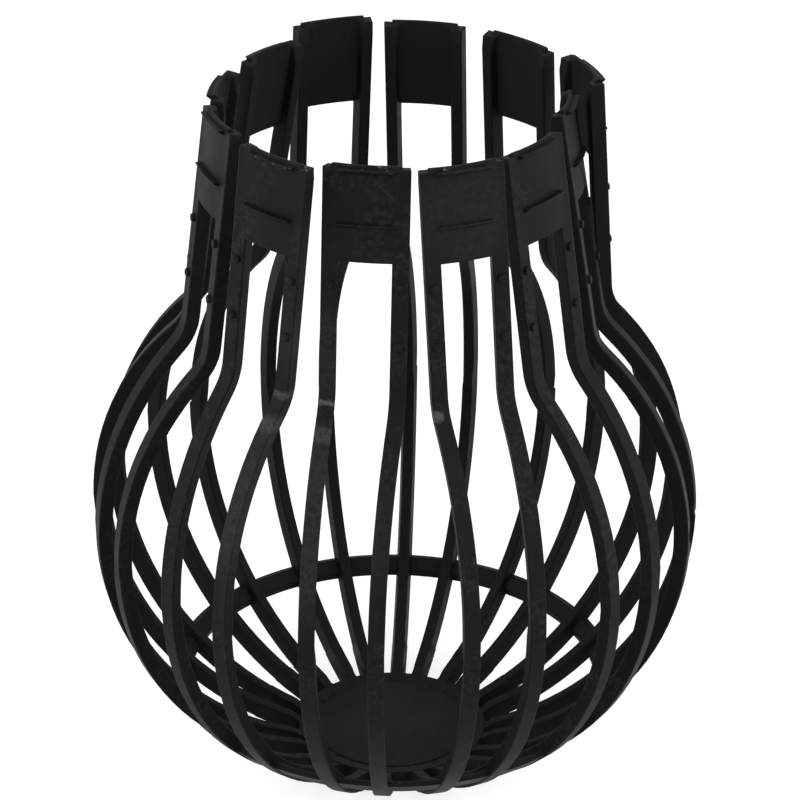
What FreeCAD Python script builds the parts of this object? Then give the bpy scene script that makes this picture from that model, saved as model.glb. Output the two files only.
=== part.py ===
"""Downpipe leaf filter: a one-piece moulded plastic cage with a spring-finger neck.

The cage stands on its closed crown with the neck upwards. +Z is the axis, the origin is the middle of
the crown's flat foot, and the first finger is centred on the XZ plane. Lengths are millimetres.
"""
import FreeCAD, Part
import Sketcher
import math
import os

NODE = "leaf_filter"

# Driving dimensions: name, value, meaning.
DIMENSIONS = [
    ("overall_height", 200.0, "crown foot to the top of the fingers"),
    ("finger_count", 12, "fingers round the neck, each on a pair of ribs"),
    ("balloon_radius", 83.5, "outside radius at the widest level"),
    ("widest_height", 77.5, "height of the widest level, where the two mould halves part"),
    ("neck_tip_radius", 51.6, "outside radius of the neck at the finger tips"),
    ("neck_foot_radius", 57.6, "outside radius of the neck where it starts to bend outwards"),
    ("neck_length", 59.5, "finger tips to the start of the bend"),
    ("bend_radius", 12.0, "radius of the outward bend at the foot of the neck"),
    ("rib_offset", 9.15, "half the spacing of the two ribs of one finger"),
    ("rib_width", 4.6, "rib width on the outer face"),
    ("rib_inner_width", 2.9, "rib width on the inner face"),
    ("rib_depth", 4.2, "rib thickness from outer to inner face"),
    ("leg_drop", 0.8, "how far the leg ends stop below the top edge of the finger plate"),
    ("lead_in_height", 9.0, "height of the slope that thins the legs towards their tips"),
    ("lead_in_depth", 2.7, "thickness left on the legs at the top edge"),
    ("plate_height", 25.2, "height of the plate that closes the top of a finger"),
    ("plate_thickness", 2.2, "wall of the finger plate"),
    ("ridge_length", 14.4, "length of the grip ridges across a finger plate"),
    ("ridge_proud", 1.0, "how far a grip ridge stands out of the plate"),
    ("ridge_thickness", 1.5, "height of a grip ridge where it leaves the plate"),
    ("top_ridge_drop", 1.7, "upper grip ridge below the top edge"),
    ("low_ridge_drop", 15.7, "lower grip ridge below the top edge"),
    ("pip_radius", 1.25, "radius of a pip over its corners"),
    ("pip_proud", 0.9, "how far a pip stands out of the leg"),
    ("top_pip_drop", 31.4, "upper pip below the top edge"),
    ("low_pip_drop", 46.9, "lower pip below the top edge"),
    ("hoop_angle", 44.9, "where the hoop lies on the belly arc, degrees below level"),
    ("hoop_width", 6.8, "hoop width on its outer face"),
    ("hoop_crest", 4.2, "hoop width on its inner face"),
    ("hoop_thickness", 1.9, "hoop thickness"),
    ("hoop_inset", 0.3, "how far the hoop lies below the outer faces of the ribs"),
    ("foot_radius", 22.5, "radius of the flat foot"),
    ("crown_radius", 27.5, "radius of the crown's lower edge"),
    ("crown_edge", 1.2, "height of the crown's lower edge"),
    ("rim_radius", 26.4, "radius of the crown's upper edge"),
    ("rim_height", 5.0, "height of the crown's upper edge"),
    ("disc_radius", 22.3, "radius of the flat disc in the middle of the crown"),
    ("disc_height", 4.4, "height of the flat disc"),
    ("disc_step", 0.3, "step from the disc down to the sloping ring round it"),
    ("root_depth", 1.5, "how far the ribs run in under the disc"),
    ("root_height", 0.05, "height of the ribs' outer faces at their roots"),
]

doc = FreeCAD.newDocument("LeafFilter")
sheet = doc.addObject("Spreadsheet::Sheet", "Size")
for row, (alias, number, meaning) in enumerate(DIMENSIONS, start=1):
    sheet.set(f"A{row}", meaning)
    sheet.set(f"B{row}", str(number))
    sheet.setAlias(f"B{row}", alias)
doc.recompute()

body = doc.addObject("PartDesign::Body", "LeafFilter")
body.Label = NODE

# Expressions shared by several features.
NECK_TAPER = "((Size.neck_foot_radius - Size.neck_tip_radius) / Size.neck_length)"
RIB_AZIMUTH = "asin(Size.rib_offset / Size.balloon_radius)"
ROOT_RADIUS = "(Size.disc_radius - Size.root_depth)"
BELLY_REACH = f"(Size.balloon_radius - {ROOT_RADIUS})"
BELLY_DROP = "(Size.widest_height - Size.root_height)"
BELLY_RADIUS = f"(({BELLY_REACH} ^ 2 + {BELLY_DROP} ^ 2) / (2 * {BELLY_REACH}))"


def neck_radius(drop):
    """Outside radius of the neck at a distance below the top edge, as an expression."""
    return f"(Size.neck_tip_radius + {NECK_TAPER} * ({drop}))"


def beside_axis(radius):
    """Distance from the axis, along a finger's mid-plane, of a rib centre on a circle of this radius."""
    return f"sqrt({radius} ^ 2 - Size.rib_offset ^ 2)"


def value(expression):
    """Number that an expression on the sheet gives."""
    result = body.evalExpression(expression)
    return float(getattr(result, "Value", result))


def origin_feature(role):
    return next(f for f in body.Origin.OriginFeatures if f.Role == role)


def new_sketch(name, plane, offset=None, turn_axis=None, turn=None):
    """A sketch on one of the body's origin planes, moved or turned from it by expressions."""
    sketch = body.newObject("Sketcher::SketchObject", name)
    sketch.AttachmentSupport = [(origin_feature(plane), "")]
    sketch.MapMode = "FlatFace"
    if turn is not None:
        sketch.AttachmentOffset = FreeCAD.Placement(FreeCAD.Vector(), FreeCAD.Rotation(turn_axis, value(turn)))
        sketch.setExpression("AttachmentOffset.Rotation.Angle", turn)
    for axis, expression in (offset or {}).items():
        sketch.setExpression(f"AttachmentOffset.Base.{axis}", expression)
    return sketch


def size_constraint(sketch, kind, expression, *where):
    """Add a dimension that follows the sheet."""
    index = sketch.addConstraint(Sketcher.Constraint(kind, *where, value(expression)))
    sketch.setExpression(f"Constraints[{index}]", expression)


def pin(sketch, geometry, vertex, across, up):
    """Fix a point by its distances from the sketch origin. None puts it on that axis."""
    if across is None:
        sketch.addConstraint(Sketcher.Constraint("PointOnObject", geometry, vertex, -2))
    else:
        size_constraint(sketch, "DistanceX", across, -1, 1, geometry, vertex)
    if up is None:
        sketch.addConstraint(Sketcher.Constraint("PointOnObject", geometry, vertex, -1))
    else:
        size_constraint(sketch, "DistanceY", up, -1, 1, geometry, vertex)


def point_of(across, up):
    return FreeCAD.Vector(value(across) if across else 0.0, value(up) if up else 0.0, 0.0)


def closed_outline(sketch, corners):
    """Straight-sided outline through corners given as (across, up) expressions."""
    points = [point_of(*corner) for corner in corners]
    sides = []
    for start, end in zip(points, points[1:] + points[:1]):
        sides.append(sketch.addGeometry(Part.LineSegment(start, end), False))
    for side, following in zip(sides, sides[1:] + sides[:1]):
        sketch.addConstraint(Sketcher.Constraint("Coincident", side, 2, following, 1))
    for side, corner in zip(sides, corners):
        pin(sketch, side, 1, *corner)


def revolve(name, sketch, angle=None, kind="PartDesign::Revolution"):
    """Turn a profile round the axis: fully, or by an angle centred on the sketch plane."""
    feature = body.newObject(kind, name)
    feature.Profile = sketch
    feature.ReferenceAxis = (origin_feature("Z_Axis"), [""])
    if angle is None:
        feature.Angle = 360
    else:
        feature.Midplane = True
        feature.setExpression("Angle", angle)
    doc.recompute()
    return feature


def sweep(name, section, path):
    feature = body.newObject("PartDesign::AdditivePipe", name)
    feature.Profile = section
    feature.Spine = path
    doc.recompute()
    return feature


def round_the_axis(name, originals, both_sides):
    """Repeat features at every finger, and on both sides of each finger's mid-plane where asked."""
    steps = []
    pattern = body.newObject("PartDesign::MultiTransform", name)
    pattern.Originals = originals
    if both_sides:
        mirror = body.newObject("PartDesign::Mirrored", name + "Mirror")
        mirror.MirrorPlane = (origin_feature("XZ_Plane"), [""])
        steps.append(mirror)
    turns = body.newObject("PartDesign::PolarPattern", name + "Turns")
    turns.Axis = (origin_feature("Z_Axis"), [""])
    turns.Angle = 360
    turns.setExpression("Occurrences", "Size.finger_count")
    steps.append(turns)
    pattern.Transformations = steps
    body.Tip = pattern
    doc.recompute()
    return pattern


def crown():
    """Closed end: a flat foot, a sloping ring that the ribs grow out of, and a flat disc a step above it."""
    sketch = new_sketch("CrownProfile", "XZ_Plane")
    closed_outline(sketch, [
        (None, None),
        ("Size.foot_radius", None),
        ("Size.crown_radius", "Size.crown_edge"),
        ("Size.rim_radius", "Size.rim_height"),
        ("Size.disc_radius", "Size.disc_height - Size.disc_step"),
        ("Size.disc_radius", "Size.disc_height"),
        (None, "Size.disc_height"),
    ])
    return revolve("Crown", sketch)


def rib_section(name, reach, offset, turn=None):
    """Rib section at the widest level: a trapezoid, wide on the outer face."""
    sketch = new_sketch(name, "XY_Plane", offset, FreeCAD.Vector(0, 0, 1), turn)
    inner = f"({reach} - Size.rib_depth)"
    closed_outline(sketch, [
        (reach, "-Size.rib_width / 2"),
        (reach, "Size.rib_width / 2"),
        (inner, "Size.rib_inner_width / 2"),
        (inner, "-Size.rib_inner_width / 2"),
    ])
    return sketch


def arc(centre, radius, start, end):
    """Arc anticlockwise from one direction to another, angles in radians."""
    return Part.ArcOfCircle(Part.Circle(centre, FreeCAD.Vector(0, 0, 1), radius), start, end)


def heading(start, end):
    return math.atan2(end.y - start.y, end.x - start.x)


def lower_rib_path():
    """One arc from the widest level, where it is upright, down to the crown."""
    sketch = new_sketch("LowerRibPath", "XZ_Plane", None, FreeCAD.Vector(0, 1, 0), RIB_AZIMUTH)
    radius = value(BELLY_RADIUS)
    widest = point_of("Size.balloon_radius", "Size.widest_height")
    root = point_of(ROOT_RADIUS, "Size.root_height")
    centre = FreeCAD.Vector(widest.x - radius, widest.y, 0)
    belly = sketch.addGeometry(arc(centre, radius, heading(centre, root), 0), False)
    sketch.addConstraint(Sketcher.Constraint("Horizontal", belly, 3, belly, 2))
    pin(sketch, belly, 2, "Size.balloon_radius", "Size.widest_height")
    pin(sketch, belly, 1, ROOT_RADIUS, "Size.root_height")
    return sketch


def upper_rib_path():
    """Belly arc from the widest level, the outward bend, and the straight leg up the neck."""
    sketch = new_sketch("UpperRibPath", "XZ_Plane", {"z": "-Size.rib_offset"})
    widest_at = (beside_axis("Size.balloon_radius"), "Size.widest_height")
    foot_at = (beside_axis("Size.neck_foot_radius"), "Size.overall_height - Size.neck_length")
    tip_at = (beside_axis(neck_radius("Size.leg_drop")), "Size.overall_height - Size.leg_drop")
    widest, foot, tip = point_of(*widest_at), point_of(*foot_at), point_of(*tip_at)
    bend_radius = value("Size.bend_radius")
    leg = (tip - foot).normalize()
    bend_centre = foot + FreeCAD.Vector(leg.y, -leg.x, 0) * bend_radius
    beyond = bend_centre.x - widest.x
    above = bend_centre.y - widest.y
    belly_radius = (beyond ** 2 + above ** 2 - bend_radius ** 2) / (2 * (bend_radius - beyond))
    belly_centre = FreeCAD.Vector(widest.x - belly_radius, widest.y, 0)
    joint = heading(belly_centre, bend_centre)
    belly = sketch.addGeometry(arc(belly_centre, belly_radius, 0, joint), False)
    bend = sketch.addGeometry(arc(bend_centre, bend_radius, heading(bend_centre, foot), joint + math.pi), False)
    line = sketch.addGeometry(Part.LineSegment(foot, tip), False)
    sketch.addConstraint(Sketcher.Constraint("Tangent", belly, 2, bend, 2))
    sketch.addConstraint(Sketcher.Constraint("Tangent", bend, 1, line, 1))
    sketch.addConstraint(Sketcher.Constraint("Horizontal", belly, 3, belly, 1))
    pin(sketch, belly, 1, *widest_at)
    pin(sketch, line, 1, *foot_at)
    pin(sketch, line, 2, *tip_at)
    size_constraint(sketch, "Radius", "Size.bend_radius", bend)
    return sketch


def lower_rib():
    """Half rib of the rounded end, in a plane through the axis."""
    section = rib_section("LowerRibSection", "Size.balloon_radius", {"z": "Size.widest_height"}, RIB_AZIMUTH)
    return sweep("LowerRib", section, lower_rib_path())


def upper_rib():
    """Half rib from the widest level up the neck, parallel to its finger's mid-plane."""
    offset = {"y": "Size.rib_offset", "z": "Size.widest_height"}
    section = rib_section("UpperRibSection", beside_axis("Size.balloon_radius"), offset)
    return sweep("UpperRib", section, upper_rib_path())


def pips():
    """The two small eight-sided pips of a leg, square to its outer face."""
    offset = {
        "x": "Size.rib_offset",
        "y": "Size.overall_height - Size.top_pip_drop",
        "z": f"{beside_axis(neck_radius('Size.top_pip_drop'))} - Size.pip_proud",
    }
    lean = f"-atan({NECK_TAPER})"
    sketch = new_sketch("PipProfile", "YZ_Plane", offset, FreeCAD.Vector(1, 0, 0), lean)
    for drop in ("0", f"(Size.low_pip_drop - Size.top_pip_drop) / cos({lean})"):
        corner = "(22.5 + 45 * {})"
        closed_outline(sketch, [
            (f"Size.pip_radius * cos({corner.format(i)})", f"Size.pip_radius * sin({corner.format(i)}) - {drop}")
            for i in range(8)
        ])
    feature = body.newObject("PartDesign::Pad", "Pips")
    feature.Profile = sketch
    feature.setExpression("Length", "2 * Size.pip_proud")
    doc.recompute()
    return feature


def finger_plate():
    """Curved plate that joins the tops of a finger's two legs, flush with their outer faces."""
    sketch = new_sketch("PlateProfile", "XZ_Plane")
    low = "Size.overall_height - Size.plate_height"
    low_radius = neck_radius("Size.plate_height")
    closed_outline(sketch, [
        (low_radius, low),
        ("Size.neck_tip_radius", "Size.overall_height"),
        ("Size.neck_tip_radius - Size.plate_thickness", "Size.overall_height"),
        (f"{low_radius} - Size.plate_thickness", low),
    ])
    return revolve("Plate", sketch, "2 * asin(Size.rib_offset / Size.neck_tip_radius)")


def grip_ridge(name, drop):
    """Barbed ridge across the outside of a finger plate: square on top, sloping away below."""
    sketch = new_sketch(name + "Profile", "XZ_Plane")
    top = f"Size.overall_height - {drop} + Size.ridge_thickness / 2"
    face = neck_radius(drop)
    root = f"{face} - Size.plate_thickness / 2"
    closed_outline(sketch, [
        (root, f"{top} - Size.ridge_thickness"),
        (face, f"{top} - Size.ridge_thickness"),
        (f"{face} + Size.ridge_proud", f"{top} - Size.ridge_thickness / 4"),
        (f"{face} + Size.ridge_proud", top),
        (root, top),
    ])
    return revolve(name, sketch, "2 * asin(Size.ridge_length / 2 / Size.neck_tip_radius)")


def lead_in():
    """Slope inside the neck's mouth that thins the legs towards their tips."""
    sketch = new_sketch("LeadInProfile", "XZ_Plane")
    inner_face = f"{beside_axis(neck_radius('Size.lead_in_height'))} - Size.rib_depth"
    closed_outline(sketch, [
        ("Size.neck_tip_radius - Size.lead_in_depth", "Size.overall_height"),
        ("Size.neck_tip_radius - 2 * Size.rib_depth", "Size.overall_height"),
        (inner_face, "Size.overall_height - Size.lead_in_height"),
    ])
    return revolve("LeadIn", sketch, None, "PartDesign::Groove")


def hoop():
    """Hoop that ties the ribs together low on the belly, wider outside than inside."""
    sketch = new_sketch("HoopProfile", "XZ_Plane")

    def on_belly(depth, down):
        reach = f"({BELLY_RADIUS} - Size.hoop_inset - {depth})"
        angle = f"(Size.hoop_angle + {down} / {BELLY_RADIUS} * 180 / pi)"
        across = f"Size.balloon_radius - {BELLY_RADIUS} + {reach} * cos({angle})"
        return across, f"Size.widest_height - {reach} * sin({angle})"

    closed_outline(sketch, [
        on_belly("0", "(-Size.hoop_width / 2)"),
        on_belly("0", "Size.hoop_width / 2"),
        on_belly("Size.hoop_thickness", "Size.hoop_crest / 2"),
        on_belly("Size.hoop_thickness", "(-Size.hoop_crest / 2)"),
    ])
    return revolve("Hoop", sketch)


def check_document():
    """Stop if any object failed to rebuild or the part isn't one sound solid."""
    for item in doc.Objects:
        if "Invalid" in item.State or "Error" in item.State:
            raise RuntimeError(f"{item.Name} failed: {item.State}")
    shape = body.Shape
    if shape.isNull() or not shape.isValid() or len(shape.Solids) != 1:
        raise RuntimeError(f"{body.Label} isn't one valid solid")


crown()
rib = [lower_rib(), upper_rib(), pips()]
finger = [
    finger_plate(),
    grip_ridge("TopRidge", "Size.top_ridge_drop"),
    grip_ridge("LowRidge", "Size.low_ridge_drop"),
]
round_the_axis("Ribs", rib, True)
round_the_axis("Fingers", finger, False)
lead_in()
hoop()
check_document()
os.makedirs("parts", exist_ok=True)
body.Shape.exportStep(os.path.join("parts", f"{body.Label}.step"))
box = body.Shape.BoundBox
print(f"{body.Label}: {box.XLength:.2f} x {box.YLength:.2f} x {box.ZLength:.2f} mm, {body.Shape.Volume:.0f} mm3")
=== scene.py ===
"""Downpipe leaf filter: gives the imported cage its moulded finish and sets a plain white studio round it.

The cage stands on its crown with the spring fingers up, +Z along its axis. Lengths are metres.
"""
import math

import bmesh
import bpy
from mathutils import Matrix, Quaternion, Vector


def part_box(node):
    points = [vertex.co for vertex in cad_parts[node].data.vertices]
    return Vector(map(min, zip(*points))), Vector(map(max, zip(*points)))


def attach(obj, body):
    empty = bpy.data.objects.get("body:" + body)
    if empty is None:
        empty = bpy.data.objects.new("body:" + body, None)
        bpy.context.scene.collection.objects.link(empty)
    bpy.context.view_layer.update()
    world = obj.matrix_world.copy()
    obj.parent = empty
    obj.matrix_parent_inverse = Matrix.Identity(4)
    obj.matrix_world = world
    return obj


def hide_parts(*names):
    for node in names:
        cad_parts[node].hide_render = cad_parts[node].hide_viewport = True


bl_info = {
    "name": "Leaf Filter Finish",
    "version": (1, 0, 0),
    "blender": (4, 5, 0),
    "location": "View3D > Sidebar > Leaf Filter",
    "description": "Finishes the moulded leaf filter and sets up its studio",
    "category": "Object",
}

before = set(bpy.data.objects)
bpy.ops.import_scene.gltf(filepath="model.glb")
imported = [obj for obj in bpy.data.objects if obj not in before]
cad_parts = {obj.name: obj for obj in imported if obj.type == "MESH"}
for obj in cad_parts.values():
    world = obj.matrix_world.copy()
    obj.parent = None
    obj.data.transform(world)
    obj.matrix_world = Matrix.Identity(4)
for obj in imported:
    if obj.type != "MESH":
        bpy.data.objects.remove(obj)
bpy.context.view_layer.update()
NODE = "leaf_filter"
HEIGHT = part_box(NODE)[1][2]

# Sizes of the cage that the finishing starts from. The taper is how much the neck grows in radius per metre
# down from its tips.
FINGERS = 12
TIP_RADIUS = 0.0516
NECK_TAPER = 0.1008
NECK_FOOT_HEIGHT = 0.1405
NECK_FOOT_RADIUS = 0.0566
PLATE_THICKNESS = 0.0022
WIDEST_HEIGHT = 0.0775
PARTING_HEIGHT = 0.0725

# Height and radius of the middle of the ribs at the levels that share the bending of the belly.
BELLY_LEVELS = [(0.1190, 0.0685), (0.0980, 0.0780), (0.0775, 0.0815)]

# Heights between which the two grip ridges of a finger lie.
RIDGE_LEVELS = [(0.1970, 0.1992), (0.1830, 0.1852)]

# Ends of the ribs that go down under the crown's ring: nearest and furthest radius, lowest height and drop.
ROOT_ENDS = [(0.0205, 0.02228, 0.0043, 0.0004), (0.0240, 0.0262, 0.0051, 0.0017)]

# Edges nearer to the axis than this belong to the roots of the ribs and stay sharp.
ROOT_ZONE_RADIUS = 0.036

# Radius and height along the top of the crown: flat disc, step, sloping ring, outer edge, and back to the
# axis.
CROWN_PROFILE = [
    (0.0, 0.00455), (0.0215, 0.00455), (0.0220, 0.00450), (0.0223, 0.00432), (0.02235, 0.00415),
    (0.0259, 0.00498), (0.0262, 0.00501), (0.02645, 0.00494), (0.02685, 0.0036), (0.0, 0.0036),
]
CROWN_STEPS = 96

# How far each finger has been bent out of true, to half a degree. The first one is on +X.
# Belly outwards, belly sideways, neck outwards, neck sideways.
FINGER_BENDS = [
    (-3.0, 4.0, -1.5, 1.0),
    (1.5, -2.0, 0.0, 2.0),
    (0.0, 0.0, 0.0, -1.5),
    (0.0, 0.5, 0.0, 0.0),
    (0.5, -0.5, 2.0, 0.0),
    (-0.5, -0.5, -3.0, -1.5),
    (-1.5, 1.5, -0.5, -2.5),
    (0.5, 1.5, -2.0, -3.0),
    (0.5, 0.0, 0.0, 2.0),
    (-0.5, 1.0, -4.5, -2.0),
    (0.0, 0.0, -3.0, -0.5),
    (-2.0, 0.0, -1.5, -0.5),
]

# Distances and angles that tell the parts of the mesh apart.
MERGE_GAP = 0.000004
RIB_STEP_GAP = 0.00052
LEVEL_BAND = 0.0002
INNER_EDGE_DEPTH = 0.001
CREST_HEIGHT = 0.0007
ABOVE_BEND = 0.001
FLAT_ANGLE = math.radians(0.6)
SHARP_ANGLE = math.radians(32)
CAGE_SMOOTH_ANGLE = math.radians(42)
CROWN_SMOOTH_ANGLE = math.radians(25)

# Most that an edge is rounded, as a share of the shortest edge beside it.
EDGE_SHARE = 0.42
EDGE_SEGMENTS = 2

# Parts that are scuffed all over, lighter as scuffs and as painted sheen: middle, reach at full strength,
# whole reach and strength.
SCUFF_SHEEN_PATCHES = [
    ((-0.014, -0.072, 0.108), 0.014, 0.034, 1.0),
    ((0.026, -0.045, 0.187), 0.008, 0.018, 0.5),
    ((-0.010, -0.056, 0.150), 0.005, 0.017, 0.7),
]

# Share of the strength of the scuffs and painted sheen that is left in the gaps of a scuffed part.
SCUFF_SHEEN_LEAST = 0.3

# Marks where a rib has been whitened by bending: place, half thickness, reach and strength.
WHITENED = [
    ((-0.0195, -0.0560, 0.1370), 0.0014, 0.0050, 0.60),
    ((-0.0225, -0.0600, 0.1305), 0.0026, 0.0050, 0.40),
    ((-0.0085, -0.0575, 0.1370), 0.0011, 0.0050, 0.75),
    ((-0.0090, -0.0625, 0.1305), 0.0026, 0.0050, 0.30),
    ((0.0200, -0.0560, 0.1350), 0.0018, 0.0024, 0.70),
]

# Share of a mark's half thickness, and of its reach, over which it has its full strength, and how far it
# wavers up and down.
WHITENED_CORE = 0.25
WHITENED_MIDDLE = 0.6
WHITENED_WAVER = 0.0004

# Places on Y between which the handling scuffs and their painted sheen fade out towards the back.
SCUFF_SHEEN_FRONT = -0.04
SCUFF_SHEEN_BACK = -0.005

# Where grit lies.
GRIT_MIDDLE = (0.0, -0.08, 0.05)
GRIT_FULL_REACH = 0.018
GRIT_REACH = 0.026

# Places on Y between which the flash with its painted glints fades out towards the back, and heights between
# which it sets in.
FLASH_GLINT_FRONT = -0.045
FLASH_GLINT_BACK = -0.036
FLASH_GLINT_LOW = HEIGHT - 0.0034
FLASH_GLINT_HIGH = HEIGHT - 0.0016

# Half thickness of the parting line: its dark part and the whole.
SEAM_CORE = 0.0001
SEAM_WIDTH = 0.0003

# Depth of the surface's broad waves and of its fine grain.
RIPPLE_DEPTH = 0.00014
GRAIN_DEPTH = 0.00005

# Places of the lights from the point that the camera looks at: to the right, up, and towards the camera.
KEY_PLACE = (-1.0, 0.3, 0.4)
FILL_PLACE = (1.0, 0.3, 0.4)
KEY_SIZE = 1.0
FILL_SIZE = 0.8

WHITE = (1, 1, 1, 1)
FLOOR_SIZE = 8.0
FLOOR_ROUGHNESS = 0.9
SENSOR_WIDTH = 36.0
FURTHEST_SEEN = 20.0


class LeafFilterFinish(bpy.types.PropertyGroup):
    edge_softness: bpy.props.FloatProperty(
        name="Edge Softness", description="Width of the rounding on the moulded edges",
        default=0.0004, min=0.0001, unit="LENGTH")
    ridge_softness: bpy.props.FloatProperty(
        name="Ridge Softness", description="Width of the rounding on the grip ridges",
        default=0.00015, min=0.0, unit="LENGTH")
    tip_thinning: bpy.props.FloatProperty(
        name="Tip Thinning", description="How much thinner the plate of a finger is at its top",
        default=0.001, min=0.0, unit="LENGTH")
    ridge_rise: bpy.props.FloatProperty(
        name="Ridge Rise", description="How much further the grip ridges stand out than in the solid",
        default=0.0005, min=0.0, unit="LENGTH")
    plastic: bpy.props.FloatVectorProperty(
        name="Plastic", description="Colour of the black plastic",
        subtype="COLOR", size=3, min=0.0, max=1.0, default=(0.0066, 0.0062, 0.0061))
    # Lighter colour of the handling scuffs, which also paints sheen on the front ribs and legs.
    scuff_sheen_plastic: bpy.props.FloatVectorProperty(
        name="Scuff and Sheen Plastic", description="Colour of the plastic where handling has dulled it",
        subtype="COLOR", size=3, min=0.0, max=1.0, default=(0.026, 0.0252, 0.0246))
    strained_plastic: bpy.props.FloatVectorProperty(
        name="Strained Plastic", description="Colour of the plastic where bending has whitened it",
        subtype="COLOR", size=3, min=0.0, max=1.0, default=(0.11, 0.108, 0.105))
    # Colour of the grit, and of the flash flecks on the front tips, which are painted glints.
    speck: bpy.props.FloatVectorProperty(
        name="Specks", description="Colour of the grit and moulding flash",
        subtype="COLOR", size=3, min=0.0, max=1.0, default=(0.17, 0.17, 0.165))
    seam: bpy.props.FloatVectorProperty(
        name="Parting Line", description="Colour of the line where the two halves of the mould met",
        subtype="COLOR", size=3, min=0.0, max=1.0, default=(0.0015, 0.0015, 0.0015))
    shine: bpy.props.FloatProperty(
        name="Shine", description="Specular level of the plastic",
        default=0.09, min=0.0, max=1.0, subtype="FACTOR")


class LeafFilterStudio(bpy.types.PropertyGroup):
    floor: bpy.props.FloatVectorProperty(
        name="Floor", description="Colour of the studio floor",
        subtype="COLOR", size=3, min=0.0, max=1.0, default=(0.4, 0.4, 0.4))
    floor_lift: bpy.props.FloatProperty(
        name="Floor Lift", description="How far the floor is lifted towards white where it is seen",
        default=0.78, min=0.0, max=1.0, subtype="FACTOR")
    surround: bpy.props.FloatProperty(
        name="Surround", description="Strength of the soft light from all round", default=0.65, min=0.0)
    key_power: bpy.props.FloatProperty(
        name="Key Light", description="Power of the large light at the left",
        default=7.0, min=0.0, unit="POWER")
    fill_power: bpy.props.FloatProperty(
        name="Fill Light", description="Power of the light at the right",
        default=7.0, min=0.0, unit="POWER")
    view_azimuth: bpy.props.FloatProperty(
        name="View Azimuth", description="Direction of the camera from the axis, from +X",
        default=math.radians(-80.7), subtype="ANGLE")
    view_elevation: bpy.props.FloatProperty(
        name="View Elevation", description="Angle at which the camera looks down",
        default=math.radians(28.33), subtype="ANGLE")
    view_distance: bpy.props.FloatProperty(
        name="View Distance", description="Distance from the camera to the point it looks at",
        default=1.0015, unit="LENGTH")
    view_height: bpy.props.FloatProperty(
        name="View Height", description="Height on the axis of the point that the camera looks at",
        default=0.0964, unit="LENGTH")
    view_roll: bpy.props.FloatProperty(
        name="View Roll", description="Turn of the camera about its own axis",
        default=math.radians(0.5), subtype="ANGLE")
    focal_length: bpy.props.FloatProperty(
        name="Focal Length", description="Focal length in millimetres on a 36 mm sensor",
        default=163.8, min=1.0)
    frame_shift: bpy.props.FloatVectorProperty(
        name="Frame Shift", description="Shift of the picture across and up",
        size=2, default=(0.0067, 0.0512))


def pick_only(piece):
    """Deselect everything, then select one object and make it active."""
    bpy.ops.object.select_all(action="DESELECT")
    piece.select_set(True)
    bpy.context.view_layer.objects.active = piece


def start_editing(piece):
    """Go into edit mode, and return the places that the vertices have at that moment."""
    places = [vertex.co.copy() for vertex in piece.data.vertices]
    bpy.ops.object.mode_set(mode="EDIT")
    return places


def select_points(piece, places, wanted):
    """In edit mode, select the vertices whose first place passes a test."""
    mesh = bmesh.from_edit_mesh(piece.data)
    for vertex, place in zip(mesh.verts, places):
        vertex.select_set(wanted(place))
    mesh.select_flush_mode()
    bmesh.update_edit_mesh(piece.data)


def merged_copy(node, name):
    """A copy of a CAD node with its loose triangles joined into clean faces."""
    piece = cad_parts[node].copy()
    piece.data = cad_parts[node].data.copy()
    piece.name = name
    piece.data.name = name
    piece.parent = None
    bpy.context.collection.objects.link(piece)
    pick_only(piece)
    if piece.data.has_custom_normals:
        bpy.ops.mesh.customdata_custom_splitnormals_clear()
    bpy.ops.object.mode_set(mode="EDIT")
    bpy.ops.mesh.select_mode(type="VERT")
    bpy.ops.mesh.select_all(action="SELECT")
    bpy.ops.mesh.remove_doubles(threshold=MERGE_GAP)
    bpy.ops.mesh.dissolve_limited(angle_limit=FLAT_ANGLE)
    bpy.ops.object.mode_set(mode="OBJECT")
    return piece


def close_rib_steps(piece):
    """Join the lower and upper ribs, which meet with a small step at the widest level."""
    places = start_editing(piece)
    select_points(piece, places, lambda place: abs(place.z - WIDEST_HEIGHT) < LEVEL_BAND)
    bpy.ops.mesh.remove_doubles(threshold=RIB_STEP_GAP)
    bpy.ops.object.mode_set(mode="OBJECT")


def sink_rib_roots(piece):
    """Lower the inner ends of the ribs, so that they run in under the ring round the crown's disc."""
    places = start_editing(piece)
    for nearest, furthest, lowest, drop in ROOT_ENDS:

        def rib_end(place):
            return nearest < place.xy.length < furthest and place.z > lowest

        select_points(piece, places, rib_end)
        bpy.ops.transform.translate(value=(0, 0, -drop))
    bpy.ops.object.mode_set(mode="OBJECT")


def thin_tips(piece, thinning):
    """Move the inner top edge of each plate outwards, so that the plate is thinner at its top."""
    places = start_editing(piece)

    def inner_top_edge(place):
        return place.z > HEIGHT - LEVEL_BAND and place.xy.length < TIP_RADIUS - INNER_EDGE_DEPTH

    select_points(piece, places, inner_top_edge)
    grown = 1 + thinning / (TIP_RADIUS - PLATE_THICKNESS)
    bpy.ops.transform.resize(value=(grown, grown, 1), center_override=(0, 0, HEIGHT))
    bpy.ops.object.mode_set(mode="OBJECT")


def raise_ridges(piece, rise):
    """Move the crests of the grip ridges outwards."""
    places = start_editing(piece)
    grown = 1 + rise / TIP_RADIUS
    for low, high in RIDGE_LEVELS:

        def crest(place):
            face = TIP_RADIUS + NECK_TAPER * (HEIGHT - place.z)
            return low < place.z < high and place.xy.length > face + CREST_HEIGHT

        select_points(piece, places, crest)
        bpy.ops.transform.resize(value=(grown, grown, 1), center_override=(0, 0, low))
    bpy.ops.object.mode_set(mode="OBJECT")


def on_ridge(edge):
    """Whether an edge lies on one of the grip ridges."""
    return any(all(low < vertex.co.z < high for vertex in edge.verts) for low, high in RIDGE_LEVELS)


def by_root(edge):
    """Whether an edge is where the ribs run in under the crown's ring."""
    return any(vertex.co.xy.length < ROOT_ZONE_RADIUS for vertex in edge.verts)


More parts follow.
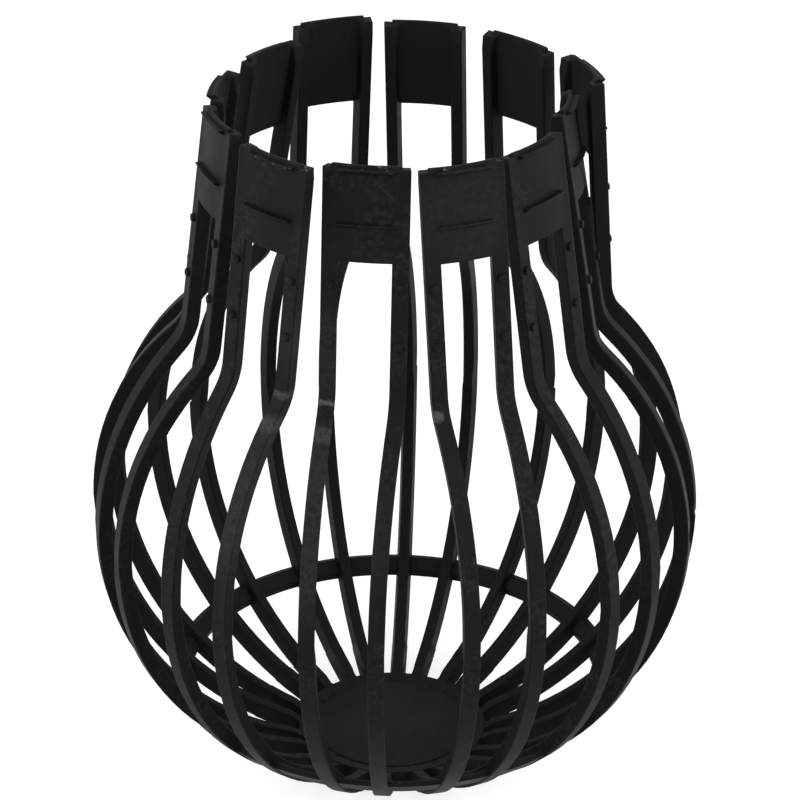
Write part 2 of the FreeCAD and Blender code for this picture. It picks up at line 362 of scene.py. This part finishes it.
def weigh_edges(piece, look):
    """Give each sharp outward edge its share of the rounding, with less where the faces by it are narrow."""
    mesh = bmesh.new()
    mesh.from_mesh(piece.data)
    weight = mesh.edges.layers.float.new("bevel_weight_edge")
    for edge in mesh.edges:
        if not edge.is_convex or edge.calc_face_angle() < SHARP_ANGLE or by_root(edge):
            continue
        widest = look.ridge_softness if on_ridge(edge) else look.edge_softness
        shortest = min(beside.calc_length() for vertex in edge.verts for beside in vertex.link_edges)
        edge[weight] = min(widest, EDGE_SHARE * shortest) / look.edge_softness
    mesh.to_mesh(piece.data)
    mesh.free()


def bend_fingers(piece):
    """Lean each finger as it is found, at the foot of its legs and along the belly of its ribs."""
    places = start_editing(piece)
    half_pitch = math.pi / FINGERS
    share = 1 / len(BELLY_LEVELS)
    for i, (belly_out, belly_aside, neck_out, neck_aside) in enumerate(FINGER_BENDS):
        azimuth = 2 * math.pi * i / FINGERS
        ahead = Vector((math.cos(azimuth), math.sin(azimuth), 0))
        leans = [(NECK_FOOT_HEIGHT, NECK_FOOT_RADIUS, neck_out, neck_aside)]
        leans += [(*level, belly_out * share, belly_aside * share) for level in BELLY_LEVELS]
        for height, radius, outwards, sideways in leans:

            def above(place):
                level_place = Vector((place.x, place.y, 0))
                return place.z > height + ABOVE_BEND and level_place.angle(ahead) < half_pitch

            select_points(piece, places, above)
            turns = {
                "X": -outwards * ahead.y - sideways * ahead.x,
                "Y": outwards * ahead.x - sideways * ahead.y,
            }
            pivot = ahead * radius + Vector((0, 0, height))
            for axis, degrees in turns.items():
                # With no window this operator turns the other way, so the angle is negated.
                bpy.ops.transform.rotate(
                    value=-math.radians(degrees), orient_axis=axis, orient_type="GLOBAL",
                    center_override=pivot)
    bpy.ops.object.mode_set(mode="OBJECT")


def soften_edges(piece, width):
    """Round the weighted edges and shade the faces between them flat."""
    bevel = piece.modifiers.new("Soft edges", "BEVEL")
    bevel.width = width
    bevel.segments = EDGE_SEGMENTS
    bevel.limit_method = "WEIGHT"
    bevel.use_clamp_overlap = False
    shading = piece.modifiers.new("Face shading", "WEIGHTED_NORMAL")
    shading.keep_sharp = True
    pick_only(piece)
    bpy.ops.object.shade_smooth_by_angle(angle=CAGE_SMOOTH_ANGLE)
    bpy.ops.object.modifier_apply(modifier=bevel.name)
    bpy.ops.object.modifier_apply(modifier=shading.name)


def add_crown_top(cage):
    """Turn the smooth top of the crown over the roots of the ribs, and join it to the cage."""
    mesh = bpy.data.meshes.new("crown top")
    points = [(radius, 0, height) for radius, height in CROWN_PROFILE]
    mesh.from_pydata(points, [(i, i + 1) for i in range(len(points) - 1)], [])
    top = bpy.data.objects.new("crown top", mesh)
    bpy.context.collection.objects.link(top)
    turning = top.modifiers.new("Turning", "SCREW")
    turning.steps = CROWN_STEPS
    turning.render_steps = CROWN_STEPS
    turning.use_merge_vertices = True
    pick_only(top)
    bpy.ops.object.modifier_apply(modifier=turning.name)
    bpy.ops.object.mode_set(mode="EDIT")
    bpy.ops.mesh.select_all(action="SELECT")
    bpy.ops.mesh.normals_make_consistent(inside=False)
    bpy.ops.object.mode_set(mode="OBJECT")
    bpy.ops.object.shade_smooth_by_angle(angle=CROWN_SMOOTH_ANGLE)
    cage.select_set(True)
    bpy.context.view_layer.objects.active = cage
    bpy.ops.object.join()


class Finish:
    """A node material with short ways to add and join its nodes."""

    def __init__(self, name):
        self.material = bpy.data.materials.new(name)
        self.material.use_nodes = True
        self.tree = self.material.node_tree
        self.tree.nodes.clear()
        self.surface = self.add("ShaderNodeBsdfPrincipled")
        output = self.add("ShaderNodeOutputMaterial")
        self.join(self.surface.outputs["BSDF"], output.inputs["Surface"])
        self.place = self.add("ShaderNodeTexCoord").outputs["Object"]
        split = self.add("ShaderNodeSeparateXYZ")
        self.join(self.place, split.inputs["Vector"])
        self.backwards = split.outputs["Y"]
        self.height = split.outputs["Z"]

    def add(self, kind, **settings):
        node = self.tree.nodes.new(kind)
        for name, setting in settings.items():
            setattr(node, name, setting)
        return node

    def join(self, output, socket):
        self.tree.links.new(output, socket)

    def feed(self, socket, source):
        """Join a socket to another, or set it to a plain value."""
        if isinstance(source, bpy.types.NodeSocket):
            self.join(source, socket)
        else:
            socket.default_value = source

    def noise(self, scale, detail, roughness=0.5, stretch=None, turn=(0, 0, 0), distortion=0.0):
        """Cloudy pattern from 0 to 1, stretched and turned where that is asked for."""
        node = self.add("ShaderNodeTexNoise")
        node.inputs["Scale"].default_value = scale
        node.inputs["Detail"].default_value = detail
        node.inputs["Roughness"].default_value = roughness
        node.inputs["Distortion"].default_value = distortion
        place = self.place
        if stretch is not None:
            mapping = self.add("ShaderNodeMapping")
            mapping.inputs["Scale"].default_value = stretch
            mapping.inputs["Rotation"].default_value = turn
            self.join(place, mapping.inputs["Vector"])
            place = mapping.outputs["Vector"]
        self.join(place, node.inputs["Vector"])
        return node.outputs["Fac"]

    def dots(self, scale):
        """Distance from the nearest of many scattered points, in their spacing."""
        node = self.add("ShaderNodeTexVoronoi")
        node.inputs["Scale"].default_value = scale
        self.join(self.place, node.inputs["Vector"])
        return node.outputs["Distance"]

    def ramp(self, source, start, end, low=0.0, high=1.0):
        """Value that runs smoothly from low to high while the source goes from start to end."""
        node = self.add("ShaderNodeMapRange", interpolation_type="SMOOTHSTEP")
        for socket, number in zip(("From Min", "From Max", "To Min", "To Max"), (start, end, low, high)):
            node.inputs[socket].default_value = number
        self.join(source, node.inputs["Value"])
        return node.outputs["Result"]

    def combine(self, operation, first, second):
        node = self.add("ShaderNodeMath", operation=operation)
        self.feed(node.inputs[0], first)
        self.feed(node.inputs[1], second)
        return node.outputs["Value"]

    def product(self, first, second):
        return self.combine("MULTIPLY", first, second)

    def larger(self, first, second):
        return self.combine("MAXIMUM", first, second)

    def off_level(self, height, level):
        """How far a height is from a level, above or below it."""
        return self.combine("ABSOLUTE", self.combine("SUBTRACT", height, level), 0.0)

    def near(self, place, inner, outer):
        """1 within the inner distance of a place, falling to 0 at the outer one."""
        node = self.add("ShaderNodeVectorMath", operation="DISTANCE")
        self.join(self.place, node.inputs[0])
        node.inputs[1].default_value = place
        return self.ramp(node.outputs["Value"], inner, outer, 1.0, 0.0)

    def blend(self, amount, first, second):
        node = self.add("ShaderNodeMix", data_type="RGBA")
        self.feed(node.inputs["Factor"], amount)
        self.feed(node.inputs["A"], first)
        self.feed(node.inputs["B"], second)
        return node.outputs["Result"]

    def bump(self, height, strength, depth, below=None):
        node = self.add("ShaderNodeBump")
        node.inputs["Strength"].default_value = strength
        node.inputs["Distance"].default_value = depth
        self.join(height, node.inputs["Height"])
        if below is not None:
            self.join(below, node.inputs["Normal"])
        return node.outputs["Normal"]


def opaque(colour):
    """A colour with full alpha, as a colour socket takes it."""
    return (*colour, 1.0)


def handling_and_sheen(finish, mottle):
    """Amount of the lighter colour: scuffs, rubbed streaks and scratches from handling, mostly on the front;
    the scuffs and rubbed streaks also paint sheen on the ribs and legs.
    """
    scuff = finish.noise(scale=620.0, detail=3.0, roughness=0.75, distortion=0.15)
    streak = finish.noise(scale=1.0, detail=3.0, roughness=0.6, stretch=(900.0, 900.0, 60.0))
    scratch = finish.noise(scale=1.0, detail=2.0, stretch=(90.0, 2400.0, 2400.0), turn=(0.3, 0.75, 0.2))
    handled = finish.product(
        finish.ramp(mottle, start=0.4, end=0.64), finish.ramp(scuff, start=0.4, end=0.74))
    # Rubbed streaks along the ribs: handling marks that are also a painted sheen.
    rubbed_sheen = finish.product(
        finish.ramp(streak, start=0.52, end=0.74, high=0.6), finish.ramp(mottle, start=0.45, end=0.7))
    scored = finish.product(
        finish.ramp(scratch, start=0.68, end=0.74, high=0.8), finish.ramp(mottle, start=0.48, end=0.6))
    dulled_and_sheen = finish.larger(finish.larger(handled, rubbed_sheen), scored)
    dulled_and_sheen = finish.product(dulled_and_sheen, finish.ramp(finish.backwards, SCUFF_SHEEN_FRONT, SCUFF_SHEEN_BACK, low=1.0, high=0.2))
    for place, full_reach, reach, strength in SCUFF_SHEEN_PATCHES:
        patch = finish.near(place, full_reach, reach)
        dulling_and_sheen = finish.ramp(scuff, start=0.3, end=0.62, low=SCUFF_SHEEN_LEAST * strength, high=strength)
        dulled_and_sheen = finish.larger(dulled_and_sheen, finish.product(dulling_and_sheen, patch))
    return dulled_and_sheen


def whitened_bends(finish):
    """Amount of the pale marks across the ribs that have been bent hard."""
    waver = finish.ramp(
        finish.noise(scale=420.0, detail=2.0), start=0.3, end=0.7, low=-WHITENED_WAVER, high=WHITENED_WAVER)
    level = finish.combine("ADD", finish.height, waver)
    broken = finish.ramp(
        finish.noise(scale=800.0, detail=3.0, roughness=0.7), start=0.3, end=0.62, low=0.35, high=1.0)
    marks = 0.0
    for place, thickness, reach, strength in WHITENED:
        off = finish.off_level(level, place[2])
        line = finish.ramp(off, WHITENED_CORE * thickness, thickness, low=strength, high=0.0)
        mark = finish.product(line, finish.near(place, WHITENED_MIDDLE * reach, reach))
        marks = finish.larger(marks, mark)
    return finish.product(marks, broken)


def specks(finish):
    """Amount of the pale specks: grit low on the front, and flash along the tips of the front fingers, whose
    pale flecks are painted glints.
    """
    dusty = finish.product(
        finish.ramp(finish.noise(scale=95.0, detail=1.0), start=0.6, end=0.66),
        finish.near(GRIT_MIDDLE, GRIT_FULL_REACH, GRIT_REACH))
    grains = finish.ramp(finish.dots(scale=330.0), start=0.06, end=0.11, low=1.0, high=0.0)
    grit = finish.product(grains, dusty)
    # Flecks along the front tips: torn flash painted pale as glints.
    rim = finish.product(
        finish.ramp(finish.height, FLASH_GLINT_LOW, FLASH_GLINT_HIGH),
        finish.ramp(finish.backwards, FLASH_GLINT_FRONT, FLASH_GLINT_BACK, low=1.0, high=0.0))
    torn_glint = finish.ramp(finish.noise(scale=620.0, detail=2.0, roughness=0.7), start=0.64, end=0.72)
    return finish.larger(grit, finish.product(rim, torn_glint))


def black_plastic(look):
    """Satin black moulded plastic: fine grain, handling scuffs that also paint sheen, whitened bends, a
    parting line and pale specks with painted glints.
    """
    finish = Finish("black plastic")
    grain = finish.noise(scale=1500.0, detail=2.0, roughness=0.6)
    ripple = finish.noise(scale=190.0, detail=3.0, roughness=0.55)
    mottle = finish.noise(scale=55.0, detail=4.0, roughness=0.6)
    seam = finish.ramp(
        finish.off_level(finish.height, PARTING_HEIGHT), SEAM_CORE, SEAM_WIDTH, low=0.8, high=0.0)

    # Handling scuffs, lighter, which also paint sheen on the front ribs and legs.
    colour = finish.blend(handling_and_sheen(finish, mottle), opaque(look.plastic), opaque(look.scuff_sheen_plastic))
    colour = finish.blend(whitened_bends(finish), colour, opaque(look.strained_plastic))
    colour = finish.blend(seam, colour, opaque(look.seam))
    # Pale specks: grit, and painted glints on the flash along the front tips.
    colour = finish.blend(specks(finish), colour, opaque(look.speck))

    surface = finish.surface
    finish.join(colour, surface.inputs["Base Color"])
    finish.join(finish.ramp(mottle, start=0.3, end=0.7, low=0.52, high=0.66), surface.inputs["Roughness"])
    surface.inputs["Specular IOR Level"].default_value = look.shine
    broad = finish.bump(finish.combine("SUBTRACT", ripple, seam), strength=0.3, depth=RIPPLE_DEPTH)
    fine = finish.bump(grain, strength=0.18, depth=GRAIN_DEPTH, below=broad)
    finish.join(fine, surface.inputs["Normal"])
    return finish.material


class LEAFFILTER_OT_cage(bpy.types.Operator):
    """Copy the moulding, bend its fingers as they are found, soften its edges and finish its plastic"""
    bl_idname = "leaf_filter.cage"
    bl_label = "Moulded Cage"

    def execute(self, context):
        look = context.scene.leaf_filter_finish
        cage = merged_copy(NODE, "cage")
        close_rib_steps(cage)
        sink_rib_roots(cage)
        thin_tips(cage, look.tip_thinning)
        raise_ridges(cage, look.ridge_rise)
        weigh_edges(cage, look)
        bend_fingers(cage)
        soften_edges(cage, look.edge_softness)
        add_crown_top(cage)
        cage.data.materials.clear()
        cage.data.materials.append(black_plastic(look))
        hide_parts(NODE)
        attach(cage, "root")
        return {"FINISHED"}


def seen_white(tree):
    """Socket that is 1 for rays that show the background: to the camera, in gloss and through glass."""
    path = tree.nodes.new("ShaderNodeLightPath")
    shown = path.outputs["Is Camera Ray"]
    for name in ("Is Glossy Ray", "Is Transmission Ray"):
        either = tree.nodes.new("ShaderNodeMath")
        either.operation = "MAXIMUM"
        tree.links.new(shown, either.inputs[0])
        tree.links.new(path.outputs[name], either.inputs[1])
        shown = either.outputs["Value"]
    return shown


def even_light(tree, strength):
    """Plain white background of one strength."""
    background = tree.nodes.new("ShaderNodeBackground")
    background.inputs["Color"].default_value = WHITE
    background.inputs["Strength"].default_value = strength
    return background.outputs["Background"]


def white_surround(studio):
    """World that lights softly from all round and shows as white."""
    world = bpy.data.worlds.new("Studio")
    world.use_nodes = True
    tree = world.node_tree
    tree.nodes.clear()
    mix = tree.nodes.new("ShaderNodeMixShader")
    tree.links.new(seen_white(tree), mix.inputs["Fac"])
    tree.links.new(even_light(tree, studio.surround), mix.inputs[1])
    tree.links.new(even_light(tree, 1.0), mix.inputs[2])
    output = tree.nodes.new("ShaderNodeOutputWorld")
    tree.links.new(mix.outputs["Shader"], output.inputs["Surface"])
    return world


def pale_floor(studio):
    """Floor that keeps the cage's soft shadow and otherwise shows as white."""
    material = bpy.data.materials.new("pale floor")
    material.use_nodes = True
    tree = material.node_tree
    surface = tree.nodes["Principled BSDF"]
    surface.inputs["Base Color"].default_value = opaque(studio.floor)
    surface.inputs["Roughness"].default_value = FLOOR_ROUGHNESS
    surface.inputs["Specular IOR Level"].default_value = 0.0
    surface.inputs["Emission Color"].default_value = WHITE
    lift = tree.nodes.new("ShaderNodeMath")
    lift.operation = "MULTIPLY"
    lift.inputs[1].default_value = studio.floor_lift
    tree.links.new(seen_white(tree), lift.inputs[0])
    tree.links.new(lift.outputs["Value"], surface.inputs["Emission Strength"])
    return material


def aim(place, target):
    """Rotation that points a light's or camera's -Z from a place to a target."""
    return (target - place).to_track_quat("-Z", "Y")


def add_light(name, place, target, size, power):
    """Round soft light of one size and power, turned to its target."""
    bpy.ops.object.light_add(type="AREA", location=place)
    lamp = bpy.context.active_object
    lamp.name = name
    lamp.data.name = name
    lamp.data.shape = "DISK"
    lamp.data.size = size
    lamp.data.energy = power
    lamp.rotation_euler = aim(place, target).to_euler()


class LEAFFILTER_OT_studio(bpy.types.Operator):
    """Set the white floor, the soft lights and the camera"""
    bl_idname = "leaf_filter.studio"
    bl_label = "White Studio"

    def execute(self, context):
        studio = context.scene.leaf_filter_studio
        scene = context.scene
        scene.view_settings.view_transform = "Standard"
        scene.world = white_surround(studio)
        bpy.ops.object.select_all(action="DESELECT")
        bpy.ops.mesh.primitive_plane_add(size=FLOOR_SIZE)
        floor = context.active_object
        floor.name = "floor"
        floor.data.materials.append(pale_floor(studio))

        look_at = Vector((0, 0, studio.view_height))
        level = math.cos(studio.view_elevation)
        towards = Vector((
            level * math.cos(studio.view_azimuth),
            level * math.sin(studio.view_azimuth),
            math.sin(studio.view_elevation),
        ))
        overhead = Vector((0, 0, 1))
        across = overhead.cross(towards).normalized()
        for name, (right, up, nearer), size, power in (
            ("key light", KEY_PLACE, KEY_SIZE, studio.key_power),
            ("fill light", FILL_PLACE, FILL_SIZE, studio.fill_power),
        ):
            place = look_at + across * right + overhead * up + towards * nearer
            add_light(name, place, look_at, size, power)

        place = look_at + towards * studio.view_distance
        bpy.ops.object.camera_add(location=place)
        camera = context.active_object
        camera.name = "camera"
        turn = aim(place, look_at) @ Quaternion((0, 0, 1), studio.view_roll)
        camera.rotation_euler = turn.to_euler()
        camera.data.sensor_width = SENSOR_WIDTH
        camera.data.lens = studio.focal_length
        camera.data.shift_x, camera.data.shift_y = studio.frame_shift
        camera.data.clip_end = FURTHEST_SEEN
        camera.data.dof.use_dof = False
        scene.camera = camera
        return {"FINISHED"}


class LEAFFILTER_PT_panel(bpy.types.Panel):
    bl_idname = "LEAFFILTER_PT_panel"
    bl_label = "Leaf Filter"
    bl_space_type = "VIEW_3D"
    bl_region_type = "UI"
    bl_category = "Leaf Filter"

    def draw(self, context):
        for group in (context.scene.leaf_filter_finish, context.scene.leaf_filter_studio):
            column = self.layout.column()
            for name in group.__annotations__:
                column.prop(group, name)
        for operator in (LEAFFILTER_OT_cage, LEAFFILTER_OT_studio):
            self.layout.operator(operator.bl_idname)


CLASSES = (
    LeafFilterFinish,
    LeafFilterStudio,
    LEAFFILTER_OT_cage,
    LEAFFILTER_OT_studio,
    LEAFFILTER_PT_panel,
)


def register():
    for kind in CLASSES:
        bpy.utils.register_class(kind)
    bpy.types.Scene.leaf_filter_finish = bpy.props.PointerProperty(type=LeafFilterFinish)
    bpy.types.Scene.leaf_filter_studio = bpy.props.PointerProperty(type=LeafFilterStudio)


def unregister():
    del bpy.types.Scene.leaf_filter_studio
    del bpy.types.Scene.leaf_filter_finish
    for kind in reversed(CLASSES):
        bpy.utils.unregister_class(kind)


def main():
    register()
    bpy.ops.leaf_filter.cage()
    bpy.ops.leaf_filter.studio()


if __name__ == "__main__":
    main()
